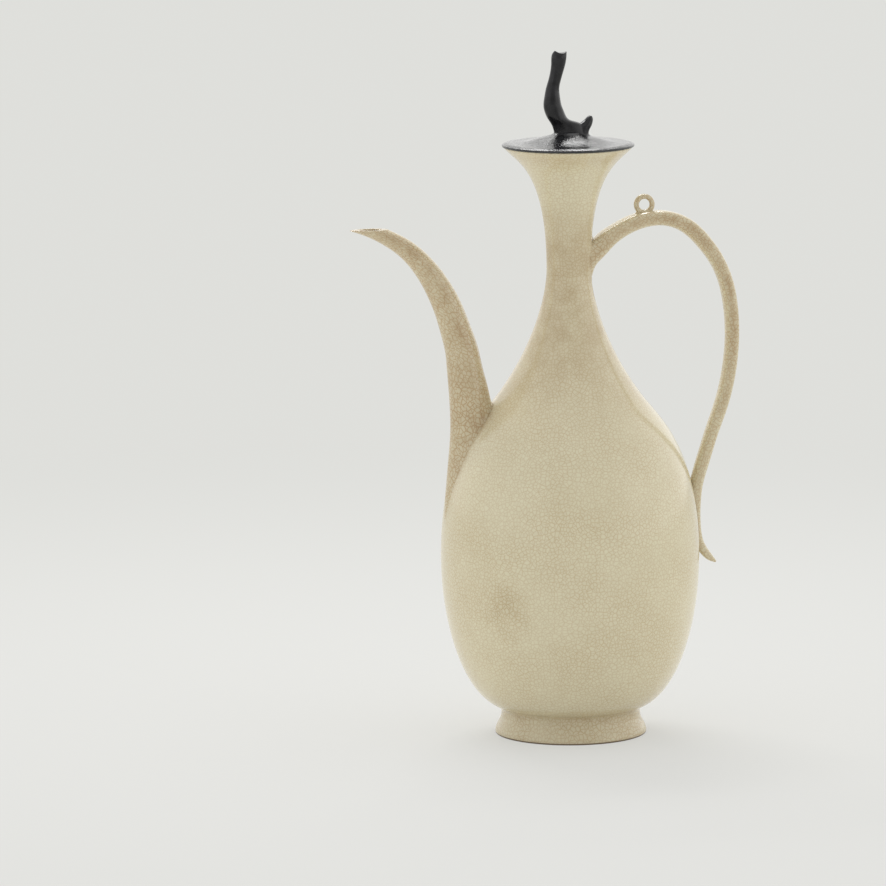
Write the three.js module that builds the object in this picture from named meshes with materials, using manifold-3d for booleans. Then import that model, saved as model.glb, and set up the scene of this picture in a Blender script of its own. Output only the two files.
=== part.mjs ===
// Water ewer: a tall glazed pot on a foot ring, with a curved spout, an arched handle that carries a cord
// ring, and a lid. Millimetres, +Z up. The spout points along -X, the handle along +X. Radii are from the
// pot's turning axis, heights from the standing surface. The origin is there, under the whole ewer's middle.
import * as THREE from "three";
import { mergeVertices } from "three/addons/utils/BufferGeometryUtils.js";
import Module from "manifold-3d";

const wasm = await Module();
wasm.setup();

// Gap that a piece keeps to the curved piece it is luted onto
const seatGap = 0.3;

// Foot ring
const footRadius = 35.1;
const footTopRadius = 33.3;
const footHeight = 11;
const footWall = 4.6;
const footEdge = 0.7;

// Outside curve of the pot: base, belly, shoulder, waist and mouth, each with its rise above the last and the
// pulls of its curve
const baseRadius = 32.1;
const baseRise = 1.3;
const baseSlope = 15;
const basePull = 19.7;
const bellyRadius = 60.3;
const bellyRise = 71.1;
const bellyPullDown = 29.8;
const bellyPullUp = 50.8;
const shoulderRadius = 33.9;
const shoulderRise = 75.4;
const shoulderSlope = 126.6;
const shoulderPullDown = 13.8;
const shoulderPullUp = 29.2;
const waistRadius = 10.3;
const waistRise = 59.7;
const waistPullDown = 12.5;
const waistPullUp = 46;
const mouthRadius = 29.8;
const mouthSlope = 50;
const mouthPull = 9;
const mouthRise = 56.8;
const rimEdge = 0.4;
const bellyLevel = footHeight + baseRise + bellyRise;
const shoulderLevel = bellyLevel + shoulderRise;
const waistLevel = shoulderLevel + waistRise;
const rimHeight = waistLevel + mouthRise;

// Walls, and the level joints between the body, the shoulder, the neck and the mouth
const bodyWall = 3.9;
const neckWall = 3;
const floorThickness = 5;
const shoulderJointRise = 28;
const neckJointRise = 1.2;
const shoulderJointLevel = bellyLevel + shoulderJointRise;
const mouthJointRise = 26.5;
const neckJointLevel = shoulderLevel + neckJointRise;
const mouthJointLevel = waistLevel + mouthJointRise;

// Spout: its seat on the shoulder, its reach and rise from there to the lip, and its half thickness and half
// width at the root
const spoutSeatDrop = 13.8;
const spoutSeatLevel = shoulderLevel - spoutSeatDrop;
const spoutReach = 50;
const spoutRise = 94.3;
const spoutThick = 13.3;
const spoutWide = 11;
const spoutWall = 2.9;
const lipWall = 1.5;
// Stations from the root inside the belly to past the lip, as shares of those sizes
const spoutStations = [
  { out: 0.032, up: -0.52, thick: 0.97, wide: 0.636 },
  { out: 0.026, up: -0.403, thick: 1, wide: 0.773 },
  { out: 0.022, up: -0.286, thick: 0.947, wide: 1 },
  { out: 0.02, up: -0.191, thick: 0.895, wide: 0.964 },
  { out: 0.018, up: -0.095, thick: 0.842, wide: 0.836 },
  { out: 0.024, up: 0, thick: 0.782, wide: 0.836 },
  { out: 0.038, up: 0.095, thick: 0.737, wide: 0.836 },
  { out: 0.06, up: 0.191, thick: 0.692, wide: 0.818 },
  { out: 0.09, up: 0.286, thick: 0.632, wide: 0.782 },
  { out: 0.122, up: 0.392, thick: 0.579, wide: 0.727 },
  { out: 0.174, up: 0.488, thick: 0.541, wide: 0.682 },
  { out: 0.242, up: 0.594, thick: 0.504, wide: 0.636 },
  { out: 0.326, up: 0.689, thick: 0.466, wide: 0.591 },
  { out: 0.45, up: 0.793, thick: 0.406, wide: 0.545 },
  { out: 0.65, up: 0.902, thick: 0.331, wide: 0.491 },
  { out: 0.824, up: 0.96, thick: 0.278, wide: 0.455 },
  { out: 1, up: 1.002, thick: 0.248, wide: 0.418 },
  { out: 1.22, up: 1.036, thick: 0.211, wide: 0.364 },
];
// The pour passage starts as a hole through the shoulder's wall and follows the spout from this station on
const pourHoleStart = { out: -0.16, up: -0.255, thick: 0.481, wide: 0.545 };
const pourHoleMiddle = { out: -0.052, up: -0.117, thick: 0.511, wide: 0.545 };
const passageStation = 5;

// Handle: its seats on the neck and the belly, and the reach and rise of its arch and its fall from them
const handleTopRise = 3.5;
const handleLowRise = 19.1;
const handleTopLevel = waistLevel + handleTopRise;
const handleLowLevel = bellyLevel + handleLowRise;
const archReach = 67.4;
const archRise = 18.6;
const archThick = 7;
const archWide = 5.4;
const fallReach = 16.9;
const fallRise = 65.7;
const fallThick = 3.2;
const fallWide = 4.2;
// Stations from inside the neck out to the far side of the arch, then down to the free tail, as shares of
// those sizes
const handleArch = [
  { out: -0.119, up: -0.403, thick: 1.029, wide: 0.926 },
  { out: -0.077, up: -0.194, thick: 0.943, wide: 1 },
  { out: -0.027, up: 0.032, thick: 0.743, wide: 1 },
  { out: 0.046, up: 0.269, thick: 0.657, wide: 0.926 },
  { out: 0.12, up: 0.522, thick: 0.614, wide: 0.889 },
  { out: 0.194, up: 0.704, thick: 0.557, wide: 0.87 },
  { out: 0.291, up: 0.882, thick: 0.543, wide: 0.852 },
  { out: 0.395, up: 0.984, thick: 0.514, wide: 0.852 },
  { out: 0.513, up: 1, thick: 0.5, wide: 0.852 },
  { out: 0.669, up: 0.806, thick: 0.514, wide: 0.852 },
  { out: 0.792, up: 0.398, thick: 0.514, wide: 0.833 },
  { out: 0.892, up: -0.108, thick: 0.486, wide: 0.815 },
  { out: 0.953, up: -0.618, thick: 0.471, wide: 0.815 },
  { out: 0.984, up: -1.129, thick: 0.471, wide: 0.796 },
  { out: 1, up: -1.882, thick: 0.457, wide: 0.796 },
];
const handleFall = [
  { out: 1, up: 1, thick: 1, wide: 1 },
  { out: 0.888, up: 0.857, thick: 1, wide: 0.976 },
  { out: 0.722, up: 0.715, thick: 1, wide: 0.952 },
  { out: 0.521, up: 0.572, thick: 0.969, wide: 0.952 },
  { out: 0.343, up: 0.431, thick: 0.969, wide: 0.929 },
  { out: 0.172, up: 0.289, thick: 0.969, wide: 0.905 },
  { out: 0.071, up: 0.183, thick: 0.906, wide: 0.905 },
  { out: 0.041, up: 0.084, thick: 0.812, wide: 0.857 },
  { out: 0.041, up: 0, thick: 0.719, wide: 0.81 },
  { out: 0.059, up: -0.084, thick: 0.656, wide: 0.762 },
  { out: 0.089, up: -0.16, thick: 0.625, wide: 0.714 },
  { out: 0.154, up: -0.228, thick: 0.625, wide: 0.643 },
  { out: 0.296, up: -0.298, thick: 0.625, wide: 0.571 },
  { out: 0.485, up: -0.35, thick: 0.437, wide: 0.405 },
  { out: 0.621, up: -0.376, thick: 0.156, wide: 0.167 },
];

// Cord ring on top of the arch, at a share of the way along the handle, sunk a little into it
const ringShare = 0.2366;
const ringSink = 1.7;
const ringRadius = 4.9;
const ringHoleRadius = 2.6;
const ringWidth = 3;
const ringFootWide = 2;
const ringFoot = [
  { left: [-0.878, -1.265], right: [0.918, -1.265], wide: 1 },
  { left: [-0.837, -0.939], right: [0.878, -0.857], wide: 0.9 },
  { left: [-0.592, -0.653], right: [0.592, -0.653], wide: 0.55 },
];

// Lid: a thin plate that swells to a boss, and the locating ring under it
const lidRadius = 30.7;
const lidEdge = 1.2;
const lidEdgeSlope = 173;
const lidEdgePull = 4;
const swellRadius = 20;
const swellRise = 2.1;
const swellSlope = 168;
const bossRadius = 12;
const bossRise = 4.4;
const bossSlope = 166;
const bossPull = 3;
const lidCrown = 5.9;
const crownPull = 6;
const flangeDepth = 6.5;
const flangeWall = 2.6;
const flangeClearance = 0.6;

// Finial: left and right outline points from its foot to its cut top, from the middle of the lid's crown, as
// shares of its height, and half widths as shares of its foot's
const finialHeight = 38.8;
const finialWide = 5.4;
const finialOutline = [
  { left: [-0.162, -0.036], right: [0.262, -0.036], wide: 1 },
  { left: [-0.154, 0.036], right: [0.257, 0.031], wide: 0.889 },
  { left: [-0.195, 0.129], right: [0.159, 0.111], wide: 0.815 },
  { left: [-0.244, 0.198], right: [0.015, 0.19], wide: 0.796 },
  { left: [-0.28, 0.285], right: [-0.051, 0.267], wide: 0.741 },
  { left: [-0.288, 0.368], right: [-0.085, 0.355], wide: 0.704 },
  { left: [-0.275, 0.458], right: [-0.1, 0.447], wide: 0.63 },
  { left: [-0.257, 0.54], right: [-0.108, 0.53], wide: 0.556 },
  { left: [-0.224, 0.643], right: [-0.093, 0.622], wide: 0.5 },
  { left: [-0.198, 0.74], right: [-0.064, 0.72], wide: 0.481 },
  { left: [-0.188, 0.856], right: [-0.033, 0.833], wide: 0.519 },
  { left: [-0.177, 0.949], right: [-0.021, 0.907], wide: 0.519 },
  { left: [-0.141, 1], right: [-0.018, 0.969], wide: 0.407 },
];
const hornOutline = [
  { left: [0.139, 0.01], right: [0.257, 0.01], wide: 0.556 },
  { left: [0.17, 0.082], right: [0.283, 0.067], wide: 0.481 },
  { left: [0.211, 0.129], right: [0.298, 0.129], wide: 0.352 },
  { left: [0.265, 0.198], right: [0.29, 0.193], wide: 0.13 },
];

// Facets
const turnedSides = 40;
const curveSteps = 8;
const lidSteps = 4;
const spoutSides = 16;
const passageSides = 12;
const strapSides = 12;
const finialSides = 12;
const ringSides = 8;
const ringTurns = 20;

const creamGlaze = () => new THREE.MeshStandardMaterial({ color: 0xbfb798, roughness: 0.22, metalness: 0 });
const blackGlaze = () => new THREE.MeshStandardMaterial({ color: 0x17181a, roughness: 0.2, metalness: 0 });
const satinBlack = () => new THREE.MeshStandardMaterial({ color: 0x1d1f20, roughness: 0.38, metalness: 0 });

// Points a number of degrees round from the outward direction, this far away
function pull(point, degrees, length) {
  const angle = THREE.MathUtils.degToRad(degrees);
  return new THREE.Vector2(point.x + length * Math.cos(angle), point.y + length * Math.sin(angle));
}

// The pot's outside curve from its base to its mouth, as radius and height
function potOutline() {
  const base = new THREE.Vector2(baseRadius, footHeight + baseRise);
  const belly = new THREE.Vector2(bellyRadius, bellyLevel);
  const shoulder = new THREE.Vector2(shoulderRadius, shoulderLevel);
  const waist = new THREE.Vector2(waistRadius, waistLevel);
  const mouth = new THREE.Vector2(mouthRadius, rimHeight - rimEdge);
  const spans = [
    [base, pull(base, baseSlope, basePull), pull(belly, -90, bellyPullDown), belly],
    [belly, pull(belly, 90, bellyPullUp), pull(shoulder, shoulderSlope, -shoulderPullDown), shoulder],
    [shoulder, pull(shoulder, shoulderSlope, shoulderPullUp), pull(waist, -90, waistPullDown), waist],
    [waist, pull(waist, 90, waistPullUp), pull(mouth, mouthSlope, -mouthPull), mouth],
  ];
  const lines = spans.map((span) => new THREE.CubicBezierCurve(...span).getPoints(curveSteps));
  return [...lines.flatMap((line) => line.slice(0, -1)), mouth];
}

// The curve moved towards the axis, square to itself, by a wall's thickness; a negative one moves it outwards
function inwards(points, wall) {
  return points.map((point, i) => {
    const along = points[Math.min(i + 1, points.length - 1)].clone().sub(points[Math.max(i - 1, 0)]);
    const inward = new THREE.Vector2(-along.y, along.x).normalize();
    return point.clone().addScaledVector(inward, wall);
  });
}

// The point where a rising curve passes a height, carried on in a straight line past its ends
function pointAt(points, height) {
  const found = points.findIndex((point) => point.y > height);
  const i = Math.max(1, found < 0 ? points.length - 1 : found);
  const share = (height - points[i - 1].y) / (points[i].y - points[i - 1].y);
  const point = points[i - 1].clone().lerp(points[i], share);
  return point.setY(height);
}

// The stretch of a rising curve between two heights
function between(points, low, high) {
  const inside = points.filter((point) => point.y > low + 0.05 && point.y < high - 0.05);
  return [pointAt(points, low), ...inside, pointAt(points, high)];
}

const outside = potOutline();
const bodyInside = inwards(outside, bodyWall);
const neckInside = inwards(outside, neckWall);
const outerRadius = (height) => pointAt(outside, height).x;

// A geometry as a closed solid, and a solid as a geometry
function solid(geometry) {
  const bare = geometry.clone();
  bare.deleteAttribute("normal");
  bare.deleteAttribute("uv");
  const merged = mergeVertices(bare, 1e-4);
  const vertProperties = merged.attributes.position.array;
  const triVerts = new Uint32Array(merged.index.array);
  return new wasm.Manifold(new wasm.Mesh({ numProp: 3, vertProperties, triVerts }));
}

function geometryOf(made) {
  const mesh = made.getMesh();
  const geometry = new THREE.BufferGeometry();
  geometry.setAttribute("position", new THREE.BufferAttribute(mesh.vertProperties, 3));
  geometry.setIndex(new THREE.BufferAttribute(mesh.triVerts, 1));
  geometry.computeVertexNormals();
  return geometry;
}

// A turned piece from its section, listed so that the material lies on the left of the line
function turned(section) {
  const points = section.map((point) => new THREE.Vector2(Math.max(point.x, 0), point.y));
  return new THREE.LatheGeometry(points, turnedSides).rotateX(Math.PI / 2);
}

function turnedRing(section) {
  return turned([...section, section[0]]);
}

// A closed skin over rings of points, with a flat fan at each end
function skin(rings) {
  const sides = rings[0].length;
  const middle = (ring) => ring.reduce((sum, point) => sum.add(point), new THREE.Vector3()).divideScalar(sides);
  const points = [...rings.flat(), middle(rings[0]), middle(rings.at(-1))];
  const first = rings.length * sides;
  const last = first - sides;
  const faces = [];
  for (let side = 0; side < sides; side += 1) {
    const next = (side + 1) % sides;
    for (let ring = 0; ring < rings.length - 1; ring += 1) {
      const low = ring * sides;
      const high = low + sides;
      faces.push(low + side, high + next, low + next, low + side, high + side, high + next);
    }
    faces.push(first, side, next, first + 1, last + next, last + side);
  }
  const geometry = new THREE.BufferGeometry().setFromPoints(points);
  geometry.setIndex(faces);
  return geometry;
}

// An oval ring of points: half its thickness along one direction in the middle plane, half its width along Y
function oval(centre, thick, wide, sides) {
  const ring = [];
  for (let side = 0; side < sides; side += 1) {
    const angle = (2 * Math.PI * side) / sides;
    const point = centre.clone().addScaledVector(thick, Math.cos(angle));
    ring.push(point.setY(wide * Math.sin(angle)));
  }
  return ring;
}

// Smooth curves through stations in the middle plane: where they lie, and their half thickness and half width
function course(stations, extra = 0) {
  const places = stations.map(({ x, z }) => new THREE.Vector3(x, 0, z));
  const sizes = stations.map(({ thick, wide }) => new THREE.Vector3(thick + extra, wide + extra, 0));
  const path = new THREE.CatmullRomCurve3(places, false, "catmullrom");
  const spread = new THREE.CatmullRomCurve3(sizes, false, "catmullrom");
  return { path, spread };
}

// A swept piece through stations, with an oval section square to its course
function swept(stations, steps, sides, extra = 0) {
  const { path, spread } = course(stations, extra);
  const rings = [];
  for (let step = 0; step <= steps; step += 1) {
    const along = path.getTangent(step / steps);
    const size = spread.getPoint(step / steps);
    const across = new THREE.Vector3(-along.z, 0, along.x).multiplyScalar(size.x);
    rings.push(oval(path.getPoint(step / steps), across, size.y, sides));
  }
  return skin(rings);
}

// A piece whose rings run from left to right outline points in the middle plane, as shares of its size
// and half width
function outlined(outline, size, halfWidth, sides) {
  const rings = outline.map(({ left, right, wide }) => {
    const from = new THREE.Vector3(left[0], 0, left[1]).multiplyScalar(size);
    const to = new THREE.Vector3(right[0], 0, right[1]).multiplyScalar(size);
    const centre = from.clone().lerp(to, 0.5);
    return oval(centre, from.sub(centre), wide * halfWidth, sides);
  });
  return skin(rings);
}

// Everything inside the pot's outside, grown by the gap that luted pieces keep
function potEnvelope() {
  const grown = inwards(outside, -seatGap);
  const bottom = new THREE.Vector2(0, footHeight);
  const top = new THREE.Vector2(0, grown.at(-1).y);
  return solid(turned([bottom, new THREE.Vector2(grown[0].x, footHeight), ...grown, top]));
}

// Stations put in place from the seat of a piece at a level of the pot, with the piece's own sizes
function placed(stations, level, { side, reach, rise, thick, wide }) {
  return stations.map((share) => ({
    x: side * (outerRadius(level) + share.out * reach),
    z: level + share.up * rise,
    thick: share.thick * thick,
    wide: share.wide * wide,
  }));
}

const spoutSize = { side: -1, reach: spoutReach, rise: spoutRise, thick: spoutThick, wide: spoutWide };
const archSize = { side: 1, reach: archReach, rise: archRise, thick: archThick, wide: archWide };
const fallSize = { side: 1, reach: fallReach, rise: fallRise, thick: fallThick, wide: fallWide };
const spoutPath = placed(spoutStations, spoutSeatLevel, spoutSize);
const handlePath = [
  ...placed(handleArch, handleTopLevel, archSize),
  ...placed(handleFall, handleLowLevel, fallSize),
];

function pourPassage() {
  const start = placed([pourHoleStart, pourHoleMiddle], spoutSeatLevel, spoutSize);
  const along = spoutPath.slice(passageStation);
  const bored = along.map((station, i) => {
    const wall = THREE.MathUtils.lerp(spoutWall, lipWall, i / (along.length - 1));
    return { ...station, thick: station.thick - wall, wide: station.wide - wall };
  });
  return solid(swept([...start, ...bored], 2 * (bored.length + 1), passageSides));
}

function footRing() {
  const inner = footRadius - footWall;
  const innerTop = footTopRadius - footWall;
  return turnedRing([
    new THREE.Vector2(inner + footEdge, 0),
    new THREE.Vector2(footRadius - footEdge, 0),
    new THREE.Vector2(footRadius, footEdge),
    new THREE.Vector2(footTopRadius, footHeight - footEdge),
    new THREE.Vector2(footTopRadius - footEdge, footHeight),
    new THREE.Vector2(innerTop, footHeight),
    new THREE.Vector2(inner, footEdge),
  ]);
}

function body() {
  const floorLevel = footHeight + floorThickness;
  const outer = between(outside, outside[0].y, shoulderJointLevel);
  const inner = between(bodyInside, floorLevel, shoulderJointLevel).reverse();
  return turned([
    new THREE.Vector2(0, footHeight),
    new THREE.Vector2(baseRadius - footEdge, footHeight),
    ...outer,
    ...inner,
    new THREE.Vector2(0, floorLevel),
  ]);
}

function shoulder(passage) {
  const outer = between(outside, shoulderJointLevel, neckJointLevel);
  const inner = between(bodyInside, shoulderJointLevel, neckJointLevel).reverse();
  return geometryOf(solid(turnedRing([...outer, ...inner])).subtract(passage));
}

function neck() {
  const outer = between(outside, neckJointLevel, mouthJointLevel);
  const inner = between(neckInside, neckJointLevel, mouthJointLevel).reverse();
  return turnedRing([...outer, ...inner]);
}

function mouth() {
  const outer = between(outside, mouthJointLevel, outside.at(-1).y);
  const inner = between(neckInside, mouthJointLevel, rimHeight - rimEdge).reverse();
  return turnedRing([
    ...outer,
    new THREE.Vector2(mouthRadius - rimEdge, rimHeight),
    new THREE.Vector2(inner[0].x + rimEdge, rimHeight),
    ...inner,
  ]);
}

function spout(passage, envelope) {
  const tube = solid(swept(spoutPath, 2 * (spoutPath.length - 1), spoutSides));
  const span = 4 * mouthRadius;
  const above = new THREE.BoxGeometry(2 * span, span, span);
  above.translate(-outerRadius(spoutSeatLevel) - span, 0, spoutSeatLevel + spoutRise + span / 2);
  return geometryOf(tube.subtract(passage).subtract(envelope).subtract(solid(above)));
}

function handle(envelope) {
  return geometryOf(solid(swept(handlePath, 2 * (handlePath.length - 1), strapSides)).subtract(envelope));
}

function cordRing() {
  const middle = (ringRadius + ringHoleRadius) / 2;
  const section = [];
  for (let side = 0; side < ringSides; side += 1) {
    const angle = (2 * Math.PI * side) / ringSides;
    const radius = middle + (ringRadius - middle) * Math.cos(angle);
    section.push(new THREE.Vector2(radius, (ringWidth / 2) * Math.sin(angle)));
  }
  const ring = solid(new THREE.LatheGeometry([...section, section[0]], ringTurns));
  const foot = solid(outlined(ringFoot, ringRadius, ringFootWide, strapSides));
  const seat = solid(swept(handlePath, 2 * (handlePath.length - 1), strapSides, seatGap));
  const { path, spread } = course(handlePath);
  const crest = path.getPoint(ringShare);
  const place = [crest.x, 0, crest.z + spread.getPoint(ringShare).x + ringRadius - ringSink];
  return geometryOf(ring.add(foot).translate(place).subtract(seat));
}

// The lid's top surface from its edge to its crown, raised by a gap
function lidTop(gap) {
  const edge = new THREE.Vector2(lidRadius - lidEdge, lidEdge + gap);
  const swell = new THREE.Vector2(swellRadius, swellRise + gap);
  const boss = new THREE.Vector2(bossRadius, bossRise + gap);
  const crown = new THREE.Vector2(0, lidCrown + gap);
  const spans = [
    [edge, pull(edge, lidEdgeSlope, lidEdgePull), pull(swell, swellSlope, -lidEdgePull), swell],
    [swell, pull(swell, swellSlope, bossPull), pull(boss, bossSlope, -bossPull), boss],
    [boss, pull(boss, bossSlope, bossPull), pull(crown, 0, crownPull), crown],
  ];
  const lines = spans.map((span) => new THREE.CubicBezierCurve(...span).getPoints(lidSteps));
  return [...lines.flatMap((line) => line.slice(0, -1)), crown];
}

function lidPlate() {
  return turned([
    new THREE.Vector2(0, 0),
    new THREE.Vector2(lidRadius - lidEdge / 2, 0),
    new THREE.Vector2(lidRadius, lidEdge / 3),
    new THREE.Vector2(lidRadius - lidEdge / 4, lidEdge * 0.8),
    ...lidTop(0),
  ]);
}

function lidFlange() {
  const radius = pointAt(neckInside, rimHeight - flangeDepth).x - flangeClearance;
  return turnedRing([
    new THREE.Vector2(radius - flangeWall, -flangeDepth),
    new THREE.Vector2(radius - rimEdge, -flangeDepth),
    new THREE.Vector2(radius, rimEdge - flangeDepth),
    new THREE.Vector2(radius, 0),
    new THREE.Vector2(radius - flangeWall, 0),
  ]);
}

function finial() {
  const stem = solid(outlined(finialOutline, finialHeight, finialWide, finialSides));
  const horn = solid(outlined(hornOutline, finialHeight, finialWide, finialSides));
  const under = new THREE.Vector2(0, -lidCrown);
  const edge = new THREE.Vector2(lidRadius, -lidCrown);
  const lid = solid(turned([under, edge, ...lidTop(seatGap)]));
  return geometryOf(stem.add(horn).translate([0, 0, lidCrown]).subtract(lid));
}

function named(name, geometry, material) {
  const mesh = new THREE.Mesh(geometry, material);
  mesh.name = name;
  return mesh;
}

const envelope = potEnvelope();
const passage = pourPassage();

const pot = new THREE.Group();
pot.add(named("foot_ring", footRing(), creamGlaze()));
pot.add(named("body", body(), creamGlaze()));
pot.add(named("shoulder", shoulder(passage), creamGlaze()));
pot.add(named("neck", neck(), creamGlaze()));
pot.add(named("mouth", mouth(), creamGlaze()));
pot.add(named("spout", spout(passage, envelope), creamGlaze()));
pot.add(named("handle", handle(envelope), creamGlaze()));
pot.add(named("cord_ring", cordRing(), creamGlaze()));

const lid = new THREE.Group();
lid.position.z = rimHeight;
lid.add(named("lid_plate", lidPlate(), blackGlaze()));
lid.add(named("lid_flange", lidFlange(), blackGlaze()));
lid.add(named("finial", finial(), satinBlack()));

// The pot's axis stands off the origin, because the spout reaches further than the handle
const group = new THREE.Group();
group.add(pot, lid);
const extent = new THREE.Box3().setFromObject(group);
group.position.x = -Math.round(5 * (extent.min.x + extent.max.x)) / 10;

export default group;
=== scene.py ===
import math
import bmesh
import bpy
import numpy as np
from mathutils import Matrix, Vector
from mathutils.kdtree import KDTree


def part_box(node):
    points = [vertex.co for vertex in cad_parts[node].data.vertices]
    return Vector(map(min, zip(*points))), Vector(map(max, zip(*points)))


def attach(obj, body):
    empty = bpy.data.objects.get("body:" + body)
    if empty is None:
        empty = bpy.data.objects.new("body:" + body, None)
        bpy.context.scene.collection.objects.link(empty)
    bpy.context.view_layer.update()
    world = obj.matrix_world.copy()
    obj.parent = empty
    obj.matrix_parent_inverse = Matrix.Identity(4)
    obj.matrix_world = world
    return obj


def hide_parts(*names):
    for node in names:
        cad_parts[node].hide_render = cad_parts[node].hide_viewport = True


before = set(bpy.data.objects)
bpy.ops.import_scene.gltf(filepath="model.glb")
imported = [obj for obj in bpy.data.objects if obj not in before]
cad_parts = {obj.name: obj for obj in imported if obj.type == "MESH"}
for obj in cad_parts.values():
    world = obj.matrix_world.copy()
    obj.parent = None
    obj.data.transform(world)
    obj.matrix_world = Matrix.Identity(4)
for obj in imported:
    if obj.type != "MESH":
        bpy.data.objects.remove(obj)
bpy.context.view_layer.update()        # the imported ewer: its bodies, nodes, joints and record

mm = 0.001
fullTurn = 2 * math.pi
scene = bpy.context.scene
footLow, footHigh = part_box("foot_ring")
potAxis = (footLow.x + footHigh.x) / 2 / mm   # the pot's turning axis, from the row's origin

# outside of the pot in millimetres: base, belly, shoulder, waist and mouth. Each station holds its radius from the
# turning axis and its height, the curve's direction in degrees, and how far it is pulled before and after
potForm = {
    "stations": [
        ((32.1, 12.3), 15.0, 0, 19.7), ((60.3, 83.4), 90.0, 29.8, 50.8), ((33.9, 158.8), 126.6, 13.8, 29.2),
        ((10.3, 218.5), 90.0, 12.5, 46.0), ((29.8, 274.9), 50.0, 9.0, 0),
    ],
    "heel": 0.3, "rim": 275.3, "rimRound": 0.45, "rimInner": 0.7, "bodyWall": 3.9, "neckWall": 3.0, "floor": 5.0,
    "neckJoint": 160.0, "mouthJoint": 245.0, "steps": 48, "sides": 256,
    "warmShare": 0.68, "warmHeights": ((145, 185, 230, 252), (0, 1, 1, 0)),
    "groovePoolAndShade": 0.35, "grooveReach": 2.2, "rimPool": 0.35, "rimDrop": 4, "rimReach": 3,
}


def pulled(point, degrees, length):
    angle = math.radians(degrees)
    return (point[0] + length * math.cos(angle), point[1] + length * math.sin(angle))


def bezier(span, steps):
    a, b, c, d = (np.array(p, float) for p in span)
    t = np.linspace(0, 1, steps + 1)[:, None]
    return a * (1 - t) ** 3 + 3 * b * t * (1 - t) ** 2 + 3 * c * t ** 2 * (1 - t) + d * t ** 3


def joined(spans, steps):
    runs = [bezier(span, steps) for span in spans]
    return np.vstack([run[:-1] for run in runs] + [runs[-1][-1:]])


def curveThrough(stations, steps):
    return joined([
        (start, pulled(start, way, after), pulled(end, endWay, -before), end)
        for (start, way, _, after), (end, endWay, before, _) in zip(stations, stations[1:])
    ], steps)


def directions(curve):
    along = np.gradient(curve, axis=0)
    return along / np.linalg.norm(along, axis=1)[:, None]


def lengthsAlong(points):
    return np.concatenate(([0], np.cumsum(np.linalg.norm(np.diff(points, axis=0), axis=1))))


def roundTurn(sides):
    return np.linspace(0, fullTurn, sides, endpoint=False)


def bell(away, reach):
    return np.exp(-(away / reach) ** 2)


def between(curve, low, high, clear=0.2):
    def pointAt(height):
        return (np.interp(height, curve[:, 1], curve[:, 0]), height)
    kept = curve[(curve[:, 1] > low + clear) & (curve[:, 1] < high - clear)]
    return np.vstack((pointAt(low), kept, pointAt(high)))


def softened(corners, turns=5):
    # a section whose corners (radius, height, rounding) become small arcs
    points = []
    for i, (x, z, rounding) in enumerate(corners):
        here = np.array((x, z))
        if rounding == 0:
            points.append(here)
            continue
        back = np.array(corners[i - 1][:2]) - here
        ahead = np.array(corners[(i + 1) % len(corners)][:2]) - here
        start = here + back / np.linalg.norm(back) * rounding
        end = here + ahead / np.linalg.norm(ahead) * rounding
        for t in np.linspace(0, 1, turns + 1):
            points.append(start * (1 - t) ** 2 + 2 * here * t * (1 - t) + end * t ** 2)
    return np.array(points)


outline = curveThrough(potForm["stations"], potForm["steps"])
outlineNormals = directions(outline)[:, ::-1] * (1, -1)
bodyInside = outline - potForm["bodyWall"] * outlineNormals
neckInside = outline - potForm["neckWall"] * outlineNormals
print("pot outline:", len(outline), "points")


def outerRadius(height):
    return float(np.interp(height, outline[:, 1], outline[:, 0]))


def potGap(points, batch=4000):
    # how far points stand outside the pot's wall, in millimetres, and which way the wall faces there
    offset = points - (potAxis, 0, 0)
    around = np.hypot(offset[:, 0], offset[:, 1])
    gap = np.empty(len(points))
    facing = np.empty((len(points), 3))
    for start in range(0, len(points), batch):
        part = slice(start, start + batch)
        flat = np.column_stack((around[part], offset[part, 2]))
        apart = flat[:, None, :] - outline[None]
        near = (apart ** 2).sum(2).argmin(1)
        normal = outlineNormals[near]
        gap[part] = (apart[np.arange(len(near)), near] * normal).sum(1)
        unit = offset[part, :2] / np.maximum(around[part], 1e-6)[:, None]
        facing[part] = np.column_stack((unit * normal[:, :1], normal[:, 1]))
    return gap, facing


# node helpers
def nodeIn(tree, kind, **values):
    made = tree.nodes.new(kind)
    for key, value in values.items():
        setattr(made, key, value)
    return made


def feed(tree, socket, value):
    # a number or a colour is set, anything else is linked
    if isinstance(value, (int, float)):
        socket.default_value = value
    elif isinstance(value, tuple):
        socket.default_value = (*value, 1)
    elif value is not None:
        tree.links.new(value, socket)


def maths(tree, operation, *values):
    made = nodeIn(tree, "ShaderNodeMath", operation=operation)
    for socket, value in zip(made.inputs, values):
        feed(tree, socket, value)
    return made.outputs[0]


def vectorMaths(tree, operation, first, second=None):
    made = nodeIn(tree, "ShaderNodeVectorMath", operation=operation)
    tree.links.new(first, made.inputs[0])
    if isinstance(second, tuple):
        made.inputs[1].default_value = second
    elif second is not None:
        tree.links.new(second, made.inputs["Scale" if operation == "SCALE" else 1])
    return made.outputs["Value" if operation in ("DISTANCE", "LENGTH") else "Vector"]


def separated(tree, kind, value):
    made = nodeIn(tree, "ShaderNodeSeparate" + kind)
    tree.links.new(value, made.inputs[0])
    return made.outputs


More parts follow.
